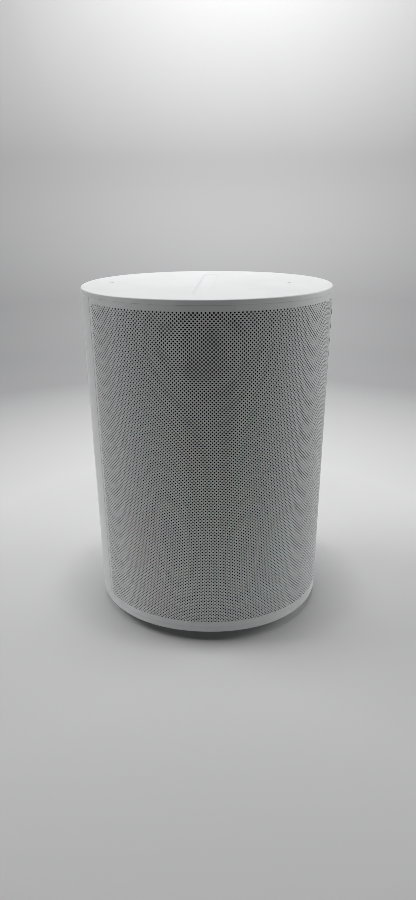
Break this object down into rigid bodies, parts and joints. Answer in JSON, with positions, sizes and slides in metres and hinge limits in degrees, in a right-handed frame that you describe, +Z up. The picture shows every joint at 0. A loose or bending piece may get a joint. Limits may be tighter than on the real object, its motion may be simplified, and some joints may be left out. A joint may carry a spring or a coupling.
{
  "type": "smart speaker",
  "caption": "Compact oval smart speaker with a perforated wrap-round grille, a flat touch top with a trough, and a rear recess for its controls and sockets.",
  "frame": {"origin": "under the middle of the body, on the surface that the speaker stands on", "axes": "+Z up, the front with its badge faces -Y, the rear panel with its sockets faces +Y, +X is to the right as the front is seen from in front"},
  "size_m": [0.12, 0.1311, 0.1825],
  "materials": {
    "casing_white": "fine satin moulded finish",
    "control_white": "satin",
    "badge_grey": "satin",
    "plinth_grey": "fine matte",
    "transformer_body": "moulded resin",
    "foot_rubber": "matte",
    "inner_plastic": "moulded",
    "seal_foam": "closed-cell foam",
    "circuit_board": "solder mask",
    "bare_steel": "plated",
    "black_steel": "black coating",
    "ferrite": "sintered, dull",
    "heat_sink_metal": "extruded",
    "capacitor_can": "sleeved can",
    "pin_brass": "polished",
    "coil_winding": "enamelled wire",
    "cone_paper": "pressed paper pulp",
    "surround_rubber": "soft matte",
    "woven_cloth": "impregnated weave",
    "lead_rubber": "smooth",
    "light_guide": "clear, unlit"
  },
  "bodies": {
    "housing": {"top_cover": "casing_white", "grille_sleeve": "casing_white", "rear_panel": "casing_white", "bottom_cover": "casing_white", "front_badge": "badge_grey", "base_plinth": "plinth_grey", "transformer": "transformer_body", "foot_pad": "foot_rubber", "lower_chassis": "inner_plastic", "upper_frame": "inner_plastic", "enclosure_front": "inner_plastic", "enclosure_rear": "inner_plastic", "tweeter_bridge": "inner_plastic", "power_inlet": "inner_plastic", "button_switch": "inner_plastic", "left_tweeter_frame": "inner_plastic", "right_tweeter_frame": "inner_plastic", "enclosure_seal": "seal_foam", "woofer_gasket": "seal_foam", "touch_board": "circuit_board", "power_supply_board": "circuit_board", "io_board": "circuit_board", "main_board": "circuit_board", "antenna_board": "circuit_board", "base_screw_1": "bare_steel", "base_screw_2": "bare_steel", "base_screw_3": "bare_steel", "base_screw_4": "bare_steel", "usb_c_socket": "bare_steel", "slide_switch_body": "bare_steel", "front_microphone": "bare_steel", "rear_microphone": "bare_steel", "processor_shield": "bare_steel", "woofer_top_plate": "bare_steel", "woofer_back_plate": "bare_steel", "left_tweeter_magnet": "bare_steel", "right_tweeter_magnet": "bare_steel", "woofer_frame": "black_steel", "woofer_screw_1": "black_steel", "woofer_screw_2": "black_steel", "woofer_screw_3": "black_steel", "woofer_screw_4": "black_steel", "woofer_magnet": "ferrite", "heat_sink": "heat_sink_metal", "bulk_capacitor": "capacitor_can", "inlet_pin_left": "pin_brass", "inlet_pin_right": "pin_brass", "woofer_surround": "surround_rubber", "woofer_spider": "woven_cloth", "supply_lead": "lead_rubber", "front_light_pipe": "light_guide", "rear_light_pipe": "light_guide"},
    "button": {"pairing_button": "control_white"},
    "slider": {"mic_switch": "control_white"},
    "cone": {"woofer_cone": "cone_paper", "woofer_dust_cap": "cone_paper", "woofer_voice_coil": "coil_winding"},
    "left_dome": {"left_tweeter_dome": "woven_cloth"},
    "right_dome": {"right_tweeter_dome": "woven_cloth"}
  },
  "joints": [
    {"name": "pairing_button_press", "type": "slide", "parent": "housing", "child": "button", "axis": [0, -1, 0], "range_m": [0, 0.0008], "stiffness_N_per_m": 1500},
    {"name": "mic_switch_slide", "type": "slide", "parent": "housing", "child": "slider", "axis": [1, 0, 0], "range_m": [0, 0.003]},
    {"name": "woofer_travel", "type": "slide", "parent": "housing", "child": "cone", "axis": [0, -1, 0], "range_m": [-0.003, 0.003], "stiffness_N_per_m": 1100, "deforming": ["woofer_surround", "woofer_spider"]},
    {"name": "left_tweeter_travel", "type": "slide", "parent": "housing", "child": "left_dome", "axis": [-0.5882, -0.8087, 0], "range_m": [-0.0003, 0.0003], "stiffness_N_per_m": 600},
    {"name": "right_tweeter_travel", "type": "slide", "parent": "housing", "child": "right_dome", "axis": [0.5882, -0.8087, 0], "range_m": [-0.0003, 0.0003], "stiffness_N_per_m": 600}
  ]
}
